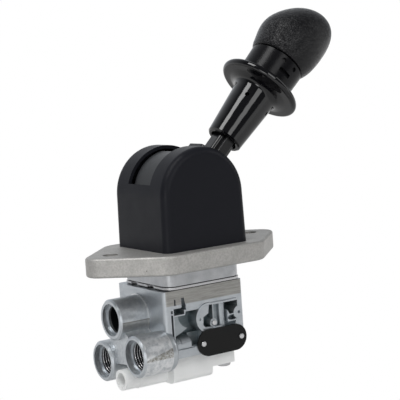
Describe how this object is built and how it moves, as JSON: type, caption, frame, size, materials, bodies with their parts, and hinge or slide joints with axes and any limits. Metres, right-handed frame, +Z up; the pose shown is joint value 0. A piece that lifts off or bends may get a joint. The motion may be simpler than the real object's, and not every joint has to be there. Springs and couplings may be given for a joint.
{
  "type": "hand brake valve",
  "caption": "Lever-operated hand brake valve: flanged housing with an arched cap, tilting knob lever with a lift-to-release disc, and a ported die-cast body with a silencer.",
  "frame": {"origin": "centre of the mounting flange's top face, midway between the panel holes", "axes": "+Z up through the cap, +X towards the side the lever leans to, -X towards the air ports, -Y towards the id plate"},
  "size_m": [0.1699, 0.0674, 0.1999],
  "materials": {
    "cast_aluminium": "sand cast and blasted, warm grey",
    "die_cast": "pressure die-cast, bright with a bluish sheen",
    "bronze": "sintered, oiled",
    "brass": "turned",
    "cap_plastic": "moulded, fine matt texture",
    "shield_plastic": "moulded, satin",
    "gloss_black": "black, polished",
    "neck_plastic": "moulded, satin",
    "knob_skin": "moulded with a leather grain",
    "steel": "zinc plated",
    "hard_steel": "hardened and ground",
    "slider_steel": "blackened steel",
    "spring_steel": "drawn wire",
    "gasket": "pressed fibre, black",
    "piston_metal": "turned",
    "rubber": "moulded",
    "white_plastic": "white, slightly translucent",
    "black_plate": "black, satin, blank",
    "rivet": "domed, bright"
  },
  "bodies": {
    "housing": {"mounting_flange": "cast_aluminium", "shaft_bush_front": "bronze", "shaft_bush_rear": "bronze", "cap": "cap_plastic", "detent_plate": "steel", "detent_screws": "steel", "return_spring": "spring_steel", "neck_gasket": "gasket", "joint_plate": "steel", "body_gasket": "gasket", "housing_screws": "steel", "valve_body": "die_cast", "inlet_seat": "brass", "valve_retainer": "brass", "exhaust_silencer": "white_plastic", "silencer_screw": "steel", "id_plate": "black_plate", "id_rivets": "rivet", "cavity_pin": "rivet"},
    "lever": {"lever_arm": "gloss_black", "lever_shaft": "steel", "drive_pin": "steel", "shaft_clips": "spring_steel", "cam": "hard_steel", "drum_shield": "shield_plastic", "knob_neck": "neck_plastic", "knob": "knob_skin"},
    "collar": {"lock_collar": "gloss_black", "lock_slider": "slider_steel", "slider_pin": "steel", "collar_spring": "spring_steel"},
    "follower": {"cam_follower": "hard_steel", "graduating_spring": "spring_steel"},
    "piston": {"balance_piston": "piston_metal", "piston_seals": "rubber"},
    "inlet_valve": {"inlet_valve": "rubber", "valve_spring": "spring_steel"}
  },
  "joints": [
    {"name": "lever_tilt", "type": "hinge", "parent": "housing", "child": "lever", "pos_m": [0, 0, 0.028], "axis": [0, -1, 0], "range_deg": [0, 76], "stiffness_Nm_per_rad": 0.6, "springref_deg": -20.05, "deforming": ["return_spring"]},
    {"name": "collar_lift", "type": "slide", "parent": "lever", "child": "collar", "axis": [0.7071, 0, 0.7071], "range_m": [0, 0.005], "stiffness_N_per_m": 600, "springref_m": -0.01, "deforming": ["collar_spring"]},
    {"name": "follower_slide", "type": "slide", "parent": "housing", "child": "follower", "axis": [0, 0, 1], "range_m": [0, 0.00506], "deforming": ["graduating_spring"]},
    {"name": "piston_slide", "type": "slide", "parent": "housing", "child": "piston", "axis": [0, 0, 1], "range_m": [0, 0.002]},
    {"name": "valve_lift", "type": "slide", "parent": "housing", "child": "inlet_valve", "axis": [0, 0, 1], "range_m": [0, 0.0011], "deforming": ["valve_spring"]}
  ],
  "couplings": [
    {"joint": "follower_slide", "follows": "lever_tilt", "m_per_rad": 0.0038},
    {"joint": "piston_slide", "follows": "lever_tilt", "m_per_rad": 0.0015},
    {"joint": "valve_lift", "follows": "lever_tilt", "m_per_rad": 0.0008}
  ]
}
